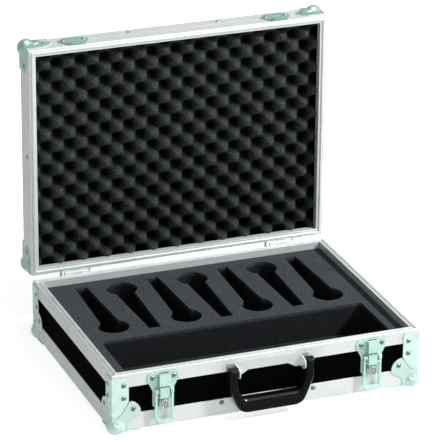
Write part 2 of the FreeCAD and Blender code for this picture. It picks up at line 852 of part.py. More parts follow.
nodes = {}
base_panel_low = base_low + skin
for side, solid in wall_panels(base_panel_low, rim_z - rim_top).items():
    nodes["base_panel_" + side] = solid
nodes["base_floor_panel"] = box((-inner_w, inner_w), (-inner_d, inner_d), (base_panel_low, foam_low))
lid_panel_high = lid_high - skin
for side, solid in wall_panels(lid_low + rim_top, lid_panel_high).items():
    nodes["lid_panel_" + side] = open_lid(solid)
nodes["lid_top_panel"] = open_lid(box((-inner_w, inner_w), (-inner_d, inner_d),
                                      (lid_panel_high - panel_thick, lid_panel_high)))
lid_wall_leg = lid_height - lid_rim_face
for side in sides:
    nodes["base_rim_" + side] = mitred_bar(base_rim_profile(), side)
    nodes["base_edge_" + side] = mitred_bar(edge_profile(base_low, 1, edge_leg), side)
    nodes["lid_rim_" + side] = open_lid(mitred_bar(lid_rim_profile(), side))
    nodes["lid_edge_" + side] = open_lid(mitred_bar(edge_profile(lid_high, -1, lid_wall_leg), side))
nodes["base_corner_angles"] = corner_angles()
nodes["microphone_foam"] = microphone_foam()
nodes["foam_floor_pad"] = box((-inner_w, inner_w), (-inner_d, inner_d),
                              (foam_low, foam_low + floor_pad_thick))
nodes["lid_foam"] = open_lid(lid_foam())
nodes["base_ball_corners"] = base_ball_corners()
nodes["lid_ball_corners"] = open_lid(lid_ball_corners())
for name, (sx, sy) in corners.items():
    nodes["base_brace_" + name] = corner_brace(sx, sy)
for name, side in hands.items():
    nodes["latch_lever_" + name] = latch_lever(side * latch_place)
    nodes["latch_claw_" + name] = latch_claw(side * latch_place)
    nodes["lock_plug_" + name] = lock_plug(side * latch_place)
pairs = {"base_hinge_leaves": (base_hinge_leaf, hinge_place),
         "lid_hinge_leaves": (lid_hinge_leaf, hinge_place),
         "latch_plates": (latch_plate, latch_place),
         "lock_bodies": (lock_body, latch_place),
         "lid_strikes": (lid_strike, latch_place)}
for name, (make, place) in pairs.items():
    nodes[name] = Part.makeCompound([make(side * place) for side in hands.values()])
nodes["hinge_pins"] = hinge_pins()
nodes["handle"] = handle()
nodes["handle_bracket"] = handle_bracket()
nodes["handle_pins"] = handle_pins()
nodes["base_rivets"] = base_rivets()
nodes["lid_rivets"] = lid_rivets()

for name, shape in nodes.items():
    shape.exportStep("parts/" + name + ".step")
    print(name, len(shape.Solids), shape.isValid(), round(shape.Volume, 1))
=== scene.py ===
import json
import math

import bmesh
import bpy
from mathutils import Matrix, Vector, noise


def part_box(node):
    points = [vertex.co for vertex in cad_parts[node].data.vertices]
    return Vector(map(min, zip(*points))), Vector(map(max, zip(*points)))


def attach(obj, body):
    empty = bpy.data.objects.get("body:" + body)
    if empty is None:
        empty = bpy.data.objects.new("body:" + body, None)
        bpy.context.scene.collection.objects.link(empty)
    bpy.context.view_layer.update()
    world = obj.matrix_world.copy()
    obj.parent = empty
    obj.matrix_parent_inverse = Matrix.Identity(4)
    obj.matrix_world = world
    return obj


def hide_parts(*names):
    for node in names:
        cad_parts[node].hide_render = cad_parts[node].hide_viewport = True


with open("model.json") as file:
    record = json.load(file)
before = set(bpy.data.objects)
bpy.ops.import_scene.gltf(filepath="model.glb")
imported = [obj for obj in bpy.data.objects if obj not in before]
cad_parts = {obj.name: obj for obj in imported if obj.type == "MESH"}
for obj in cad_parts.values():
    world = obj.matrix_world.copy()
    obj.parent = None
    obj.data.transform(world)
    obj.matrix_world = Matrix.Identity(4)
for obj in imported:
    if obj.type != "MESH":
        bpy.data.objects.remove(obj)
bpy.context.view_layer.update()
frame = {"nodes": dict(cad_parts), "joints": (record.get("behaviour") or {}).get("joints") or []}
print("frame loaded,", len(frame["nodes"]), "nodes")

mm = 0.001
halfUnit = 0.5  # half of a shape that is made one unit wide and then scaled
black, white = (0, 0, 0, 1), (1, 1, 1, 1)
hands = {"left": -1, "right": 1}
corners = {"front_left": (-1, -1), "front_right": (1, -1), "rear_left": (-1, 1), "rear_right": (1, 1)}
sideNames = ("front", "right", "rear", "left")

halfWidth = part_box("base_edge_front")[1].x
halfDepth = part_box("base_edge_left")[1].y
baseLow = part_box("base_edge_front")[0].z
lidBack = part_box("lid_edge_front")[1].y
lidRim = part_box("lid_rim_rear")[0].y
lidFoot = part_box("lid_edge_rear")[0].z
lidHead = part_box("lid_edge_front")[1].z
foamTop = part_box("microphone_foam")[1].z
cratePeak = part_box("lid_foam")[0].y


# materials

class Wire:
    # a shader socket that takes plain arithmetic, from either side
    def __init__(self, tree, socket):
        self.tree = tree
        self.socket = socket

    def work(self, operation, first, second):
        return addNode(self.tree, "Math", {"operation": operation}, {0: first, 1: second})

    def __add__(self, other):
        return self.work("ADD", self, other)

    def __radd__(self, other):
        return self.work("ADD", other, self)

    def __sub__(self, other):
        return self.work("SUBTRACT", self, other)

    def __rsub__(self, other):
        return self.work("SUBTRACT", other, self)

    def __mul__(self, other):
        return self.work("MULTIPLY", self, other)

    def __rmul__(self, other):
        return self.work("MULTIPLY", other, self)

    def __truediv__(self, other):
        return self.work("DIVIDE", self, other)

    def __rtruediv__(self, other):
        return self.work("DIVIDE", other, self)


def plug(tree, slot, value):
    if isinstance(value, Wire):
        tree.links.new(value.socket, slot)
    else:
        slot.default_value = value


def addNode(tree, kind, settings, sockets, out=0):
    # settings come first, a ramp's stops among them, then the values or links of the sockets
    made = tree.nodes.new("ShaderNode" + kind)
    for name, value in settings.items():
        if name == "stops":
            for element, (stop, colour) in zip(made.color_ramp.elements, value):
                element.position = stop
                element.color = colour
        else:
            setattr(made, name, value)
    for name, value in sockets.items():
        plug(tree, made.inputs[name], value)
    return Wire(tree, made.outputs[out])


# a Mix node's colour sockets share their names with others, so they go by their places
mixPlaces = {"factor": 0, "first": 6, "last": 7, "result": 2}


class Finish:
    # one material, built round a Principled shader
    def __init__(self, name, **sockets):
        self.material = bpy.data.materials.new(name)
        self.material.use_nodes = True
        self.tree = self.material.node_tree
        self.shader = self.tree.nodes["Principled BSDF"]
        self.set(**sockets)

    def set(self, **sockets):
        for name, value in sockets.items():
            plug(self.tree, self.shader.inputs[name.replace("_", " ")], value)

    def point(self):
        return addNode(self.tree, "TexCoord", {}, {}, out="Object")

    def along(self, axis):
        return addNode(self.tree, "SeparateXYZ", {}, {"Vector": self.point()}, out=axis)

    def place(self, stretch=(1, 1, 1)):
        return addNode(self.tree, "Mapping", {}, {"Vector": self.point(), "Scale": stretch})

    def noise(self, scale, detail, rough, stretch=(1, 1, 1)):
        return addNode(self.tree, "TexNoise", {}, {"Vector": self.place(stretch), "Scale": scale,
                                                   "Detail": detail, "Roughness": rough})

    def cells(self, scale):
        return addNode(self.tree, "TexVoronoi", {"feature": "F1"}, {"Vector": self.place(), "Scale": scale})

    def ramp(self, value, low, high, first=black, last=white):
        return addNode(self.tree, "ValToRGB", {"stops": ((low, first), (high, last))}, {"Fac": value})

    def mix(self, mask, first, last):
        colours = {mixPlaces["factor"]: mask, mixPlaces["first"]: first, mixPlaces["last"]: last}
        return addNode(self.tree, "Mix", {"data_type": "RGBA"}, colours, out=mixPlaces["result"])

    def bump(self, height, distance, strength):
        bent = addNode(self.tree, "Bump", {}, {"Height": height, "Distance": distance, "Strength": strength})
        self.set(Normal=bent)


aluminiumLook = {"colour": (0.76, 0.795, 0.79, 1), "dull": (0.56, 0.60, 0.59, 1), "metal": 0.55,
                 "streak": 900, "long": 6, "lines": (2, 0.6), "clouds": (22, 4, 0.6), "worn": (0.50, 0.78),
                 "wornShare": 0.55, "lineShare": 0.25, "rough": 0.22, "roughLines": 0.16, "roughClouds": 0.14,
                 "bump": (0.00005, 0.4)}


def aluminium(name, along):
    # drawn extrusion: fine lines along the bar, cloudy where it is handled
    look = aluminiumLook
    stretch = [1.0, 1.0, 1.0]
    stretch["xyz".index(along)] = look["long"] / look["streak"]
    made = Finish(name, Metallic=look["metal"])
    lines = made.noise(look["streak"], *look["lines"], stretch)
    clouds = made.noise(*look["clouds"])
    worn = made.ramp(clouds, *look["worn"])
    dull = worn * look["wornShare"] + lines * look["lineShare"]
    made.set(Base_Color=made.mix(dull, look["colour"], look["dull"]),
             Roughness=lines * look["roughLines"] + clouds * look["roughClouds"] + look["rough"])
    made.bump(lines, *look["bump"])
    return made.material


zincLook = {"bright": (0.64, 0.90, 0.81, 1), "deep": (0.24, 0.50, 0.41, 1), "pale": (0.80, 0.88, 0.85, 1),
            "brace": (0.74, 0.97, 0.90, 1), "metal": 0.60, "ball": 0.68, "mirror": 0.80,
            "clouds": (55, 3, 0.55), "grain": (1400, 2, 0.6), "mask": (0.42, 0.80),
            "rough": 0.08, "roughClouds": 0.16, "roughGrain": 0.08, "bump": (0.00003, 0.35)}

# share is how far the deep colour comes through
zincKinds = {"zinc": {"name": "zincPlate", "share": 0.5, "colour": "bright"},
             # darker copy of the plating for the lid's corners and strikes: its deeper colour is painted
             # shade
             "zinc lid painted shade": {"name": "zincPlateLidPaintedShade", "share": 0.9, "colour": "bright", "metal": "mirror"},
             "zinc ball": {"name": "zincBall", "share": 0.2, "colour": "brace", "metal": "ball"},
             "brace": {"name": "zincBrace", "share": 0.3, "colour": "brace"},
             "pale": {"name": "zincPale", "share": 0.15, "colour": "pale", "metal": "ball"},
             # darker copy of the plating, painted shade for the sides of claws and strikes
             "deep": {"name": "zincPaintedShade", "share": 0.9, "colour": "deep"}}


def zinc(name, share, colour, metal="metal"):
    # bright zinc plating with a green cast that comes and goes
    look = zincLook
    made = Finish(name, Metallic=look[metal])
    clouds = made.noise(*look["clouds"])
    grain = made.noise(*look["grain"])
    mask = made.ramp(clouds, *look["mask"])
    made.set(Base_Color=made.mix(mask * share, look[colour], look["deep"]),
             Roughness=clouds * look["roughClouds"] + grain * look["roughGrain"] + look["rough"])
    made.bump(grain, *look["bump"])
    return made.material


poreLook = {"rough": 0.95, "bend": 1.2, "shine": 0.1, "fine": 2.3, "patches": (16, 4, 0.6),
            "walls": (0.30, 0.75), "dust": 1.1, "dustNoise": (2, 0.7), "dustRange": (0.60, 0.72),
            "dustShare": 0.55, "wallShare": 0.8, "patchShare": 0.25, "drift": 0.3, "start": 0.15,
            "poreBump": 0.7, "fineBump": 0.3, "bump": (0.0006, 0.9)}

# each foam's colours, its pores to the metre, and the painted shade that darkens it with depth
foamKinds = {
    "base foam": {"name": "cutFoam", "dark": (0.015, 0.017, 0.020, 1), "light": (0.056, 0.062, 0.070, 1),
                  "speck": (0.15, 0.16, 0.17, 1), "cell": 620, "axis": "Z", "surface": foamTop - 1.5 * mm,
                  "depth": -6 * mm, "deepest": 0.30},
    "pad foam": {"name": "padFoam", "dark": (0.014, 0.015, 0.018, 1), "light": (0.044, 0.047, 0.053, 1),
                 "speck": (0.12, 0.12, 0.13, 1), "cell": 620, "axis": "Z", "surface": foamTop,
                 "depth": -60 * mm, "deepest": 0.5},
    "lid foam": {"name": "crateFoam", "dark": (0.010, 0.0115, 0.012, 1), "light": (0.038, 0.043, 0.044, 1),
                 "speck": (0.14, 0.15, 0.15, 1), "cell": 560, "axis": "Y", "surface": cratePeak + 4 * mm,
                 "depth": 12 * mm, "deepest": 0.06}}


def foam(name, dark, light, speck, cell, axis, surface, depth, deepest):
    # open-cell foam: small pores, light cell walls, and painted shade that darkens it the deeper it lies
    look = poreLook
    made = Finish(name, Roughness=look["rough"], IOR=look["bend"], Specular_IOR_Level=look["shine"])
    pores = made.cells(cell)
    fine = made.cells(cell * look["fine"])
    patches = made.noise(*look["patches"])
    walls = made.ramp(pores, *look["walls"])
    dust = made.ramp(made.noise(cell * look["dust"], *look["dustNoise"]), *look["dustRange"])
    body = made.mix(walls * look["wallShare"] + patches * look["patchShare"], dark, light)
    # painted shade: darker the further below the surface a point lies
    down = (made.along(axis) - surface) / depth + patches * look["drift"] - look["start"]
    shade = made.ramp(down, 0, 1, white, (deepest, deepest, deepest, 1))
    lit = made.mix(dust * look["dustShare"], body, speck)
    made.set(Base_Color=made.mix(shade, black, lit))
    made.bump(pores * look["poreBump"] + fine * look["fineBump"], *look["bump"])
    return made.material


plainLooks = {
    # black panel skin with a fine pressed grain
    "laminate": {"name": "blackLaminate", "shader": {"IOR": 1.12, "Specular_IOR_Level": 0.03},
                 "clouds": (30, 3, 0.5), "pores": 2200,
                 "colours": ((0.0005, 0.0006, 0.0009, 1), (0.0012, 0.0013, 0.0017, 1)),
                 "rough": 0.36, "roughClouds": 0.12, "roughPores": 0.10, "bump": (0.00006, 0.5)},
    "plastic": {"name": "handlePlastic",
                "shader": {"IOR": 1.4, "Specular_IOR_Level": 0.2, "Coat_Weight": 0.16,
                           "Coat_Roughness": 0.06},
                "clouds": (40, 3, 0.5), "pores": 1500,
                "colours": ((0.0012, 0.0013, 0.0018, 1), (0.0030, 0.0033, 0.0042, 1)),
                "rough": 0.24, "roughClouds": 0.18, "roughPores": 0.0, "bump": (0.00008, 0.35)},
    "chrome": {"name": "lockChrome", "shader": {"Metallic": 0.78}, "clouds": (160, 3, 0.5),
               "colours": ((0.80, 0.83, 0.86, 1), (0.66, 0.70, 0.74, 1)),
               "rough": 0.07, "roughClouds": 0.10, "bump": (0.00003, 0.2)},
    "rivet": {"name": "rivetSteel", "shader": {"Metallic": 0.9}, "clouds": (260, 3, 0.6),
              "colours": ((0.62, 0.72, 0.68, 1), (0.36, 0.44, 0.41, 1)),
              "rough": 0.22, "roughClouds": 0.2, "bump": (0.00006, 0.3)},
    # near-black for painted shade: contact lines, the lock's gaps and key slot, rivet hollows and lines at
    # the claw
    "dark": {"name": "paintedShadeDark", "shader": {"Metallic": 0.4}, "clouds": (300, 3, 0.6),
             "colours": ((0.010, 0.016, 0.015, 1), (0.035, 0.055, 0.050, 1)),
             "rough": 0.45, "roughClouds": 0.2, "bump": (0.00005, 0.3)}}


def plain(look):
    # colour and gloss that drift between two values, over pores where there are any
    made = Finish(look["name"], **look["shader"])
    clouds = made.noise(*look["clouds"])
    rough = clouds * look["roughClouds"]
    height = clouds
    if "pores" in look:
        height = made.cells(look["pores"])
        rough = rough + height * look["roughPores"]
    made.set(Base_Color=made.mix(clouds, *look["colours"]), Roughness=rough + look["rough"])
    made.bump(height, *look["bump"])
    return made.material


looks = {"aluminium x": aluminium("aluminiumAcross", "x"),
         "aluminium y": aluminium("aluminiumDeep", "y"),
         "aluminium z": aluminium("aluminiumUpright", "z")}
looks.update({name: zinc(**kind) for name, kind in zincKinds.items()})
looks.update({name: foam(**kind) for name, kind in foamKinds.items()})
looks.update({name: plain(kind) for name, kind in plainLooks.items()})
print("materials made")


# mesh helpers; an angle in crease, in degrees, parts smooth faces from sharp ones

meshLook = {"merge": 1e-6, "spinMerge": 1e-7, "flat": 1.0, "corner": 30, "evenness": 5}
crease = {"plain": 38, "turned": 50, "pressed": 60, "wire": 80}


def nodeCopy(node):
    bm = bmesh.new()
    bm.from_mesh(frame["nodes"][node].data)
    bmesh.ops.remove_doubles(bm, verts=bm.verts, dist=meshLook["merge"])
    return bm


def cleaned(node):
    bm = nodeCopy(node)
    bmesh.ops.dissolve_limit(bm, angle_limit=math.radians(meshLook["flat"]), verts=bm.verts, edges=bm.edges)
    return bm


def roundEdges(bm, width, segments=2, sharp=meshLook["corner"]):
    edges = [e for e in bm.edges if e.is_manifold and e.calc_face_angle() > math.radians(sharp)]
    bmesh.ops.bevel(bm, geom=edges, offset=width, offset_type="OFFSET", segments=segments,
                    profile=0.5, affect="EDGES", clamp_overlap=True, material=-1)


def piece(bm, name, body, look, slot, *nodes, sharp="plain"):
    mesh = bpy.data.meshes.new(name)
    bm.to_mesh(mesh)
    bm.free()
    mesh.materials.append(looks[look])
    mesh.polygons.foreach_set("use_smooth", [True] * len(mesh.polygons))
    mesh.set_sharp_from_angle(angle=math.radians(crease[sharp]))
    made = bpy.data.objects.new(name, mesh)
    bpy.context.scene.collection.objects.link(made)
    made.modifiers.new("evenNormals", "WEIGHTED_NORMAL").keep_sharp = True
    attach(made, body)
    if nodes:
        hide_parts(*nodes)
    return made


def dressed(node, name, body, look, slot, width):
    # the solid itself with its edges eased
    bm = cleaned(node)
    roundEdges(bm, width)
    return piece(bm, name, body, look, slot, node)


def baked(bm, *modifiers):
    # runs modifiers on a mesh and gives the result back
    mesh = bpy.data.meshes.new("work")
    bm.to_mesh(mesh)
    bm.free()
    work = bpy.data.objects.new("work", mesh)
    bpy.context.scene.collection.objects.link(work)
    for kind, settings in modifiers:
        made = work.modifiers.new(kind.lower(), kind)
        for key, value in settings.items():
            setattr(made, key, value)
    bpy.context.view_layer.update()
    done = work.evaluated_get(bpy.context.evaluated_depsgraph_get()).to_mesh()
    result = bmesh.new()
    result.from_mesh(done)
    bpy.data.objects.remove(work)
    bpy.data.meshes.remove(mesh)
    return result


def smoothing(look):
    # lets pressed or moulded forms run into each other
    return (("REMESH", {"mode": "VOXEL", "voxel_size": look["voxel"], "adaptivity": 0.0}),
            ("SMOOTH", {"factor": look["smoothing"], "iterations": look["smooth"]}))


def thinning(look):
    return ("DECIMATE", {"decimate_type": "COLLAPSE", "ratio": look["keep"]})


def joined(target, source, matrix):
    # adds a transformed copy of source to target
    mesh = bpy.data.meshes.new("part")
    source.to_mesh(mesh)
    mesh.transform(matrix)
    if matrix.determinant() < 0:
        mesh.flip_normals()
    target.from_mesh(mesh)
    bpy.data.meshes.remove(mesh)


def islands(node):
    # the corners of each loose solid in a node, always in the same order
    bm = nodeCopy(node)
    left = set(bm.verts)
    found = []
    while left:
        grow = [left.pop()]
        group = []
        while grow:
            vert = grow.pop()
            group.append(vert.co.copy())
            for edge in vert.link_edges:
                other = edge.other_vert(vert)
                if other in left:
                    left.remove(other)
                    grow.append(other)
        found.append(group)
    bm.free()
    return sorted(found, key=lambda group: min(tuple(round(x, meshLook["evenness"]) for x in corner)
                                               for corner in group))


def turnedPart(profile, steps, ring=False):
    # spins (radius, height) points round z; the ends lie on the axis, or meet where it is a ring
    bm = bmesh.new()
    verts = [bm.verts.new((radius, 0, height)) for radius, height in profile]
    edges = [bm.edges.new(pair) for pair in zip(verts, verts[1:] + verts[:ring])]
    bmesh.ops.spin(bm, geom=verts + edges, cent=(0, 0, 0), axis=(0, 0, 1), angle=math.tau,
                   steps=steps, use_merge=True)
    bmesh.ops.remove_doubles(bm, verts=bm.verts, dist=meshLook["spinMerge"])
    bmesh.ops.recalc_face_normals(bm, faces=bm.faces)
    return bm


def disc(wide, low, high, steps, hole=0):
    # flat round plate between two heights, or a washer where it has a hole
    return turnedPart([(hole, high), (wide, high), (wide, low), (hole, low)], steps, ring=hole > 0)


# aluminium and panels

barLook = {"bevel": 0.35 * mm, "panelBevel": 0.3 * mm}
alongBase = {"front": "x", "rear": "x", "left": "y", "right": "y"}
alongLid = {"front": "x", "rear": "x", "left": "z", "right": "z"}
for side in sideNames:
    for body, along in (("base", alongBase[side]), ("lid", alongLid[side])):
        for part in ("rim", "edge"):
            dressed(body + "_" + part + "_" + side, body + part.title() + "_" + side, body,
                    "aluminium " + along, "aluminium", barLook["bevel"])
    for body in ("base", "lid"):
        dressed(body + "_panel_" + side, body + "Panel_" + side, body, "laminate", "laminate",
                barLook["panelBevel"])
dressed("base_corner_angles", "baseCornerAngles", "base", "aluminium z", "aluminium", barLook["bevel"])
dressed("base_floor_panel", "baseFloorPanel", "base", "laminate", "laminate", barLook["panelBevel"])
dressed("lid_top_panel", "lidTopPanel", "lid", "laminate", "laminate", barLook["panelBevel"])
print("aluminium and panels done")


# thin dark lines of painted contact shade where pressed plates meet a wall

contactShadeLook = {"radius": 0.3 * mm, "near": 0.2 * mm, "sides": 5, "facing": -0.9}


def tube(points, radius, sides):
    # round wire along a list of points: a circle, extruded from each point to the next
    bm = bmesh.new()
    for k, point in enumerate(points):
        ahead = (points[min(k + 1, len(points) - 1)] - points[max(k - 1, 0)]).normalized()
        if k == 0:
            across = ahead.orthogonal().normalized()
        else:
            across = (across - ahead * across.dot(ahead)).normalized()
        place = Matrix((across.cross(ahead), across, ahead)).transposed().to_4x4()
        place.translation = point
        if k == 0:
            bmesh.ops.create_circle(bm, segments=sides, radius=radius, matrix=place)
            ring = bm.edges[:]
        else:
            grown = bmesh.ops.extrude_edge_only(bm, edges=ring)["geom"]
            ring = [part for part in grown if isinstance(part, bmesh.types.BMEdge)]
            moving = [part for part in grown if isinstance(part, bmesh.types.BMVert)]
            bmesh.ops.transform(bm, matrix=place @ last.inverted(), verts=moving)
        last = place
    bmesh.ops.holes_fill(bm, edges=[e for e in bm.edges if e.is_boundary], sides=0)
    bmesh.ops.recalc_face_normals(bm, faces=bm.faces)
    return bm


def contactShadeLines(name, body, walls, *nodes):
    # a dark wire of painted contact shade along each plate's outline on the walls it lies on; a wall is an
    # outward direction and its distance
    lines = bmesh.new()
    for node in nodes:
        plate = cleaned(node)
        for out, reach in walls:
            for edge in plate.edges:
                if any(abs(v.co.dot(out) - reach) > contactShadeLook["near"] for v in edge.verts):
                    continue
                backs = [f for f in edge.link_faces if f.normal.dot(out) < contactShadeLook["facing"]]
                if len(backs) == 1 and edge.calc_length() > contactShadeLook["radius"]:
                    wire = tube([v.co.copy() for v in edge.verts], contactShadeLook["radius"], contactShadeLook["sides"])
                    joined(lines, wire, Matrix())
                    wire.free()
        plate.free()
    print(name, len(lines.faces), "faces")
    piece(lines, name, body, "dark", "zinc_steel", sharp="wire")


frontWall = (Vector((0, -1, 0)), halfDepth)
rearWall = (Vector((0, 1, 0)), halfDepth)
sideWalls = [(Vector((side, 0, 0)), halfWidth) for side in hands.values()]


# ball corners

ballLook = {"radius": 14 * mm, "inset": 7.5 * mm, "sheet": 1.2 * mm, "voxel": 0.55 * mm, "smooth": 5,
            "smoothing": 0.5, "keep": 0.35, "dimpleLong": 6.8 * mm, "dimpleWide": 4.3 * mm,
            "dimpleDeep": 1.5 * mm, "dimpleFade": 4, "near": 60 * mm, "subdivisions": 5, "inside": 1.6,
            "brace": 0.35 * mm}
baseDimple = (8.5 * mm, 14 * mm)
lidDimple = (19.5 * mm, 19 * mm)


def cornerPlace(sx, sy, z, up):
    # from a corner's own frame, where u, v and w run inwards from the case's corner
    return Matrix(((-sx, 0, 0, sx * halfWidth), (0, -sy, 0, sy * halfDepth), (0, 0, up, z), (0, 0, 0, 1)))


def cornerShell(node, place, dimple):
    # the pressed corner at the place given, drawn in the corner's own frame
    look = ballLook
    bm = nodeCopy(node)
    bm.transform(place.inverted())
    far = [v for v in bm.verts if max(abs(x) for x in v.co) > look["near"]]
    bmesh.ops.delete(bm, geom=far, context="VERTS")
    middle = Vector((look["inset"],) * 3)
    bmesh.ops.create_icosphere(bm, subdivisions=look["subdivisions"], radius=look["radius"],
                               matrix=Matrix.Translation(middle))
    bm = baked(bm, *smoothing(look))
    for vert in bm.verts:
        for axis in (0, 1):
            inwards, level = vert.co[1 - axis] - dimple[0], vert.co.z - dimple[1]
            slot = math.hypot(inwards / look["dimpleLong"], level / look["dimpleWide"])
            if slot < 1 and vert.co[axis] < -look["sheet"] / 2:
                vert.co[axis] += look["dimpleDeep"] * (1 - slot ** look["dimpleFade"])
    # what lies inside the case is taken away
    inside = [f for f in bm.faces if min(f.calc_center_median()) > look["voxel"] * look["inside"]]
    bmesh.ops.delete(bm, geom=inside, context="FACES")
    bmesh.ops.holes_fill(bm, edges=[e for e in bm.edges if e.is_boundary], sides=0)
    bmesh.ops.recalc_face_normals(bm, faces=bm.faces)
    return baked(bm, thinning(look))


def jointPlace(name):
    return next(Vector(joint["pos_m"]) for joint in frame["joints"] if joint["name"] == name)


pivot = jointPlace("lid_hinge")
lidHigh = pivot.z + (lidBack - pivot.y)
opened = Matrix.Translation(pivot) @ Matrix.Rotation(-math.pi / 2, 4, "X") @ Matrix.Translation(-pivot)
baseShell = cornerShell("base_ball_corners", cornerPlace(1, -1, baseLow, 1), baseDimple)
lidShell = cornerShell("lid_ball_corners", opened @ cornerPlace(1, -1, lidHigh, -1), lidDimple)
bmBase, bmLid = bmesh.new(), bmesh.new()
for sx, sy in corners.values():
    joined(bmBase, baseShell, cornerPlace(sx, sy, baseLow, 1))
    joined(bmLid, lidShell, opened @ cornerPlace(sx, sy, lidHigh, -1))
for vert in bmBase.verts:
    vert.co.z = max(vert.co.z, 0)
print("corner shells", len(bmBase.faces), len(bmLid.faces))
piece(bmBase, "ballCornersBase", "base", "zinc ball", "zinc_steel", "base_ball_corners", sharp="pressed")
piece(bmLid, "ballCornersLid", "lid", "zinc lid painted shade", "zinc_steel", "lid_ball_corners", sharp="pressed")
for name in corners:
    dressed("base_brace_" + name, "brace_" + name, "base", "brace", "zinc_steel", ballLook["brace"])
contactShadeLines("braceContactShade", "base", [frontWall, rearWall] + sideWalls,
           *["base_brace_" + name for name in corners])
print("corners done")


# rivets

rivetLook = {"radius": 3.2 * mm, "height": 1.25 * mm, "hollow": 1.35 * mm, "hollowDeep": 0.7 * mm,
             "steps": 24, "floorShare": 0.85, "domeShare": 0.85, "arc": 6, "plugShare": 0.8,
             "joint": 0.55 * mm, "contactShadeThick": 0.06 * mm, "plug": 0.1 * mm}


def rivetHead():
    look = rivetLook
    wide, high, hollow = look["radius"], look["height"], look["hollow"]
    floor = high - look["hollowDeep"]
    rows = [(0, floor), (hollow * look["floorShare"], floor), (hollow, high)]
    for step in range(1, look["arc"] + 1):
        share = step / look["arc"]
        turn = share * math.pi / 2
        level = math.cos(turn) * look["domeShare"] + (1 - look["domeShare"]) * (1 - share)
        rows.append((hollow + (wide - hollow) * math.sin(turn), high * level))
    return turnedPart(rows + [(0, 0)], look["steps"])


def rivetShade():
    # the broken mandrel down in the head, near-black as painted shade in its hollow, and a dark ring round
    # the head that is painted contact shade
    look = rivetLook
    deep = look["height"] - look["hollowDeep"] + look["plug"]
    bm = disc(look["hollow"] * look["plugShare"], deep / 2, deep, look["steps"])
    joint = disc(look["radius"] + look["joint"], 0, look["contactShadeThick"], look["steps"])
    joined(bm, joint, Matrix())
    joint.free()
    return bm


def rivetPlaces(node, body):
    # where each head of a node sits, and which way it looks
    middle = Vector((0, 0, baseLow))
    if body == "lid":
        middle = Vector((0, (lidRim + lidBack) / 2, (lidHead + lidFoot) / 2))
    for group in islands(node):
        low = Vector([min(p[k] for p in group) for k in range(3)])
        high = Vector([max(p[k] for p in group) for k in range(3)])
        size = high - low
        axis = min(range(3), key=lambda k: size[k])
        out = Vector((0, 0, 0))
        out[axis] = 1 if (low + high)[axis] / 2 > middle[axis] else -1
        yield (low + high) / 2 - out * size[axis] / 2, out


def rivets(node, name, body, more):
    heads, shades = bmesh.new(), bmesh.new()
    head, shade = rivetHead(), rivetShade()
    for seat, out in list(rivetPlaces(node, body)) + more:
        turn = Vector((0, 0, 1)).rotation_difference(out).to_matrix().to_4x4()
        joined(heads, head, Matrix.Translation(seat) @ turn)
        joined(shades, shade, Matrix.Translation(seat) @ turn)
    piece(heads, name, body, "rivet", "rivet_steel", node, sharp="turned")
    piece(shades, name + "Shade", body, "dark", "rivet_steel", sharp="turned")


# heads on the bare profiles, which hold the edging to the panels
edgeRivet = {"across": 72 * mm, "up": 20 * mm, "in": 12 * mm, "sideIn": 16.8 * mm, "side": 190 * mm}
baseMore = [(Vector((side * edgeRivet["across"], -halfDepth, baseLow + edgeRivet["up"])), Vector((0, -1, 0)))
            for side in hands.values()]
lidMore = [(Vector((side * edgeRivet["across"], lidBack - edgeRivet["in"], lidHead)), Vector((0, 0, 1)))
           for side in hands.values()]
lidMore += [(Vector((side * halfWidth, lidRim + edgeRivet["sideIn"], lidFoot + edgeRivet["side"])),
             Vector((side, 0, 0))) for side in hands.values()]
rivets("base_rivets", "rivetHeadsBase", "base", baseMore)
rivets("lid_rivets", "rivetHeadsLid", "lid", lidMore)
print("rivets done")


# latches, hinges and handle

bevels = {"plate": 0.3 * mm, "lever": 0.4 * mm, "leaf": 0.25 * mm, "pin": 0.2 * mm, "plug": 0.15 * mm}


def paintShadedSides(made, shows):
    # painted shade: the darker zinc on the faces whose normal answers shows
    made.data.materials.append(looks["deep"])
    for polygon in made.data.polygons:
        polygon.material_index = int(shows(polygon.normal))


latchLook = {"springRadius": 2.7 * mm, "wire": 0.45 * mm, "turns": 4.5, "inner": 7.3 * mm, "outer": 10.7 * mm,
             "steps": 20, "sides": 8, "ring": 8.1 * mm, "ringThick": 0.25 * mm, "rimSteps": 48, "rimArc": 12,
             "faceSteps": 32, "line": 2.5 * mm, "lineThick": 0.08 * mm, "mouth": 5.0 * mm,
             "domeHigh": 0.9 * mm, "gapShare": 0.96, "crown": 0.35 * mm,
             "crownShares": ((0, 1), (0.55, 0.9), (0.92, 0.5), (0.92, 0), (0, 0)),
             "keyHalf": 2.9 * mm, "keyWide": 0.55 * mm, "stepHeight": 66 * mm, "stepDeep": 2.1 * mm,
             "strap": 7 * mm, "head": 7.5 * mm, "hookFar": 6.2 * mm, "hookNear": 3.2 * mm,
             "flank": 0.9, "edge": 0.5}
dressed("latch_plates", "latchPlates", "base", "zinc", "zinc_steel", bevels["plate"])
dressed("lock_bodies", "lockBodies", "base", "chrome", "chrome", bevels["leaf"])
for name in hands:
    dressed("latch_lever_" + name, "latchLever_" + name, "lever_" + name, "zinc", "zinc_steel",
            bevels["lever"])
    claw = dressed("latch_claw_" + name, "latchClaw_" + name, "claw_" + name, "zinc", "zinc_steel",
                   bevels["plate"])
    # the claw's sides take painted shade
    paintShadedSides(claw, lambda normal: abs(normal.x) > latchLook["flank"])
    dressed("lock_plug_" + name, "lockPlug_" + name, "plug_" + name, "chrome", "chrome", bevels["plug"])
strikes = dressed("lid_strikes", "lidStrikes", "lid", "zinc lid painted shade", "zinc_steel", bevels["plate"])
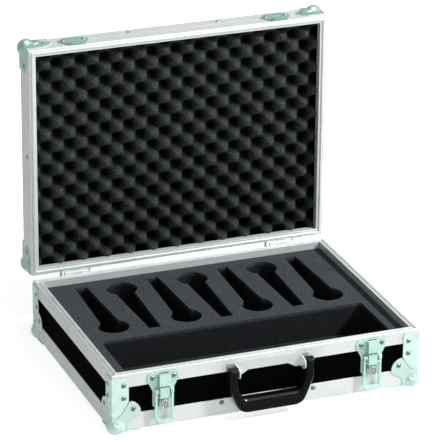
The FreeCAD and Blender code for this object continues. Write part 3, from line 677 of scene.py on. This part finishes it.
# the strike's sides take painted shade
paintShadedSides(strikes, lambda normal: abs(normal.z) < latchLook["edge"])
dressed("base_hinge_leaves", "hingeLeavesBase", "base", "pale", "zinc_steel", bevels["leaf"])
dressed("lid_hinge_leaves", "hingeLeavesLid", "lid", "pale", "zinc_steel", bevels["leaf"])
dressed("hinge_pins", "hingePins", "base", "pale", "zinc_steel", bevels["pin"])
dressed("handle_bracket", "handleBracket", "base", "pale", "zinc_steel", bevels["plate"])
dressed("handle_pins", "handlePins", "base", "zinc", "zinc_steel", bevels["pin"])
contactShadeLines("latchContactShade", "base", [frontWall], "latch_plates", "handle_bracket")
contactShadeLines("strikeContactShade", "lid", [(Vector((0, 0, 1)), lidHead)], "lid_strikes")


def slab(low, high):
    # closed box between two corners
    bm = bmesh.new()
    bmesh.ops.create_cube(bm, size=1)
    bmesh.ops.scale(bm, vec=Vector(high) - Vector(low), verts=bm.verts)
    bmesh.ops.translate(bm, vec=(Vector(high) + Vector(low)) / 2, verts=bm.verts)
    return bm


def latchSprings(name):
    # torsion springs on the claw's pin, one at each side of the strap
    look = latchLook
    low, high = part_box("latch_claw_" + name)
    middle = (low.x + high.x) / 2
    pin = jointPlace("latch_" + name + "_claw")
    count = int(look["turns"] * look["steps"])
    bm = bmesh.new()
    for end in hands.values():
        points = []
        for k in range(count + 1):
            share = k / count
            turn = math.tau * look["turns"] * share
            along = look["inner"] + (look["outer"] - look["inner"]) * share
            points.append(Vector((middle + end * along, pin.y + look["springRadius"] * math.cos(turn),
                                  pin.z + look["springRadius"] * math.sin(turn))))
        coil = tube(points, look["wire"], look["sides"])
        joined(bm, coil, Matrix())
        coil.free()
    piece(bm, "latchSprings_" + name, "lever_" + name, "rivet", "zinc_steel", sharp="pressed")


def lockDetails(name):
    # painted contact shade round the housing, its raised rim, a ring of painted shade in the gap inside that,
    # and the plug's face with its key slot filled with painted shade
    look = latchLook
    low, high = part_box("lock_plug_" + name)
    bodyLow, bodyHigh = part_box("lock_bodies")
    middle = (low + high) / 2
    wide, mouth, thick = (high - low).x / 2, look["mouth"], look["lineThick"]
    rim = (bodyHigh - bodyLow).z / 2 - mouth

    def onFront(bm, depth):
        bm.transform(Matrix.Translation((middle.x, depth, middle.z)) @ Matrix.Rotation(math.pi / 2, 4, "X"))
        return bm

    # painted contact shade round the housing
    ring = disc(look["ring"], 0, look["ringThick"], look["rimSteps"])
    piece(onFront(ring, bodyHigh.y), "lockContactShade_" + name, "base", "dark", "zinc_steel", sharp="turned")
    turns = [math.pi * k / look["rimArc"] for k in range(look["rimArc"] + 1)]
    arc = [(mouth + rim * (1 - math.cos(turn)) / 2, look["domeHigh"] * math.sin(turn)) for turn in turns]
    dome = turnedPart(arc, look["rimSteps"], ring=True)
    onFront(dome, low.y)
    bmesh.ops.recalc_face_normals(dome, faces=dome.faces)
    piece(dome, "lockRim_" + name, "base", "chrome", "chrome", sharp="turned")
    # painted shade in the gap round the plug
    gap = disc(mouth, 0, thick, look["faceSteps"], hole=wide * look["gapShare"])
    piece(onFront(gap, low.y), "lockGapShade_" + name, "base", "dark", "chrome", sharp="turned")
    outline = [(wide * out, look["crown"] * up) for out, up in look["crownShares"]]
    crown = turnedPart(outline, look["faceSteps"])
    piece(onFront(crown, low.y), "lockFace_" + name, "plug_" + name, "chrome", "chrome", sharp="turned")
    # painted shade down in the key slot
    key = slab((middle.x - look["keyWide"], low.y - look["crown"] - thick, middle.z - look["keyHalf"]),
               (middle.x + look["keyWide"], low.y, middle.z + look["keyHalf"]))
    piece(key, "keySlotShade_" + name, "plug_" + name, "dark", "chrome", sharp="turned")


def clawShade(name):
    # painted shadow: dark lines under the claw's head and over its hook
    look = latchLook
    low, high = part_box("latch_claw_" + name)
    plugLow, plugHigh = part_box("lock_plug_" + name)
    middle = (plugLow.x + plugHigh.x) / 2
    step = baseLow + look["stepHeight"]
    face = low.y + look["stepDeep"]
    shade = slab((middle - look["strap"], face - look["lineThick"], step - look["line"]),
                 (middle + look["strap"], face, step))
    top = slab((middle - look["head"], -halfDepth - look["hookFar"], high.z),
               (middle + look["head"], -halfDepth - look["hookNear"], high.z + look["lineThick"]))
    joined(shade, top, Matrix())
    top.free()
    piece(shade, "clawShade_" + name, "claw_" + name, "dark", "zinc_steel", sharp="turned")


for name in hands:
    latchSprings(name)
    lockDetails(name)
    clawShade(name)

handleLook = {"voxel": 0.8 * mm, "smoothing": 0.5, "smooth": 8, "keep": 0.6}
bow = baked(nodeCopy("handle"), *smoothing(handleLook), thinning(handleLook))
piece(bow, "handleBow", "carry_handle", "plastic", "handle_plastic", "handle", sharp="pressed")
print("hardware done")


# foam

foamLook = {"edge": 0.9 * mm, "edgeSteps": 3, "edgeCorner": 40, "cutEvery": 9 * mm, "waver": 0.45 * mm,
            "waverScale": 45, "seed": 7, "cellsWide": 24, "cellsDeep": 18, "steps": 8, "wave": 9.5 * mm,
            "fullness": 0.8, "crateUneven": 0.9 * mm, "unevenScale": 40}
noise.seed_set(foamLook["seed"])  # or the edges would waver in another way each time


def cutFoam(node, name, look):
    # knife-cut block: its edges are eased and waver a little
    bm = cleaned(node)
    for edge in list(bm.edges):
        cuts = int(edge.calc_length() / foamLook["cutEvery"])
        if cuts and edge.is_manifold and edge.calc_face_angle() > math.radians(meshLook["corner"]):
            bmesh.ops.subdivide_edges(bm, edges=[edge], cuts=cuts)
    roundEdges(bm, foamLook["edge"], foamLook["edgeSteps"], foamLook["edgeCorner"])
    for vert in bm.verts:
        drift = noise.noise_vector(vert.co * foamLook["waverScale"]) * foamLook["waver"]
        vert.co.x += drift.x
        vert.co.y += drift.y
        vert.co.z -= abs(drift.z)
    made = piece(bm, name, "base", look, "base_foam", node, sharp="turned")


cutFoam("microphone_foam", "microphoneFoam", "base foam")
cutFoam("foam_floor_pad", "foamFloorPad", "pad foam")


def crateFoam():
    # rows of peaks and hollows, with a skirt that closes the sheet behind
    look = foamLook
    low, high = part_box("lid_foam")
    size = high - low
    bm = bmesh.new()
    wide, deep = look["cellsWide"], look["cellsDeep"]
    bmesh.ops.create_grid(bm, x_segments=wide * look["steps"], y_segments=deep * look["steps"], size=halfUnit)
    for vert in bm.verts:
        across, up = vert.co.x + halfUnit, vert.co.y + halfUnit
        wave = math.cos(math.pi * across * wide) * math.cos(math.pi * up * deep)
        wave = math.copysign(abs(wave) ** look["fullness"], wave)
        here = Vector((low.x + across * size.x, 0, low.z + up * size.z))
        lump = noise.noise(here * look["unevenScale"]) * look["crateUneven"]
        here.y = cratePeak + look["wave"] * (1 - wave) + abs(lump)
        vert.co = here
    rim = [e for e in bm.edges if e.is_boundary]
    skirt = bmesh.ops.extrude_edge_only(bm, edges=rim)["geom"]
    for vert in (g for g in skirt if isinstance(g, bmesh.types.BMVert)):
        vert.co.y = high.y
    bmesh.ops.holes_fill(bm, edges=[e for e in bm.edges if e.is_boundary], sides=0)
    bmesh.ops.recalc_face_normals(bm, faces=bm.faces)
    made = piece(bm, "crateFoam", "lid", "lid foam", "lid_foam", "lid_foam", sharp="pressed")


crateFoam()
print("foam done")


# floor, light and camera

stageLook = {"floor": (0.93, 0.93, 0.93, 1), "rough": 0.8, "glow": 0.55, "world": 0.34, "reach": 6}


def studio():
    bm = bmesh.new()
    bmesh.ops.create_grid(bm, x_segments=1, y_segments=1, size=stageLook["reach"])
    mesh = bpy.data.meshes.new("floor")
    bm.to_mesh(mesh)
    bm.free()
    floor = bpy.data.objects.new("floor", mesh)
    bpy.context.scene.collection.objects.link(floor)
    paper = Finish("paleFloor", Base_Color=stageLook["floor"], Roughness=stageLook["rough"],
                   Emission_Color=white, Emission_Strength=stageLook["glow"])
    mesh.materials.append(paper.material)
    floor.visible_glossy = False
    world = bpy.data.worlds.new("studio")
    bpy.context.scene.world = world
    world.use_nodes = True
    sky = world.node_tree.nodes["Background"].inputs
    sky["Color"].default_value = white
    sky["Strength"].default_value = stageLook["world"]


flagLook = {"place": (-1.78, -4.55, 2.2), "wide": 5.6, "high": 4.6, "cloth": (0.004, 0.004, 0.004, 1),
            "rough": 1}


def flag():
    # black cloth that only reflections see, so that bright round metal has something dark to mirror
    look = flagLook
    bm = bmesh.new()
    bmesh.ops.create_grid(bm, x_segments=1, y_segments=1, size=halfUnit)
    bmesh.ops.scale(bm, vec=(look["wide"], look["high"], 1), verts=bm.verts)
    mesh = bpy.data.meshes.new("flag")
    bm.to_mesh(mesh)
    bm.free()
    made = bpy.data.objects.new("flag", mesh)
    bpy.context.scene.collection.objects.link(made)
    made.location = look["place"]
    made.rotation_euler = (-Vector(look["place"])).to_track_quat("-Z", "Y").to_euler()
    cloth = Finish("flagCloth", Base_Color=look["cloth"], Roughness=look["rough"], Specular_IOR_Level=0)
    mesh.materials.append(cloth.material)
    made.visible_camera = made.visible_diffuse = made.visible_shadow = False


lampLook = {"aim": (0, 0, 0.1),
            "key": {"place": (2.3, -1.5, 2.6), "size": 0.5, "power": 230, "mirrored": True},
            "front": {"place": (-0.2, -3.6, 1.5), "size": 1.6, "power": 26, "mirrored": False},
            "top": {"place": (0.2, 0.2, 3.2), "size": 2.2, "power": 20, "mirrored": True}}


def lamp(name, place, size, power, mirrored):
    light = bpy.data.lights.new(name, "AREA")
    light.shape = "DISK"
    light.size = size
    light.energy = power
    made = bpy.data.objects.new(name, light)
    bpy.context.scene.collection.objects.link(made)
    made.location = place
    made.rotation_euler = (Vector(lampLook["aim"]) - Vector(place)).to_track_quat("-Z", "Y").to_euler()
    made.visible_glossy = mirrored


cameraLook = {"place": (-1546.386 * mm, -3948.820 * mm, 2000.800 * mm), "yaw": 0.371948, "pitch": 0.395254,
              "roll": 0.008808, "focal": 3095.793, "frame": 440, "sensor": 36, "near": 0.1, "far": 60}


def camera():
    look = cameraLook
    yaw, pitch, roll = look["yaw"], look["pitch"], look["roll"]
    ahead = Vector((math.sin(yaw) * math.cos(pitch), math.cos(yaw) * math.cos(pitch), -math.sin(pitch)))
    right = ahead.cross(Vector((0, 0, 1))).normalized()
    up = right.cross(ahead)
    leanRight = right * math.cos(roll) + up * math.sin(roll)
    leanUp = up * math.cos(roll) - right * math.sin(roll)
    data = bpy.data.cameras.new("camera")
    data.sensor_width = look["sensor"]
    data.lens = look["focal"] / look["frame"] * look["sensor"]
    data.clip_start, data.clip_end = look["near"], look["far"]
    made = bpy.data.objects.new("camera", data)
    bpy.context.scene.collection.objects.link(made)
    turn = Matrix((leanRight, leanUp, -ahead)).transposed().to_4x4()
    made.matrix_world = Matrix.Translation(look["place"]) @ turn
    bpy.context.scene.camera = made


studio()
flag()
for name in ("key", "front", "top"):
    lamp(name, **lampLook[name])
camera()
bpy.context.scene.view_settings.view_transform = "Standard"
print("stage done")
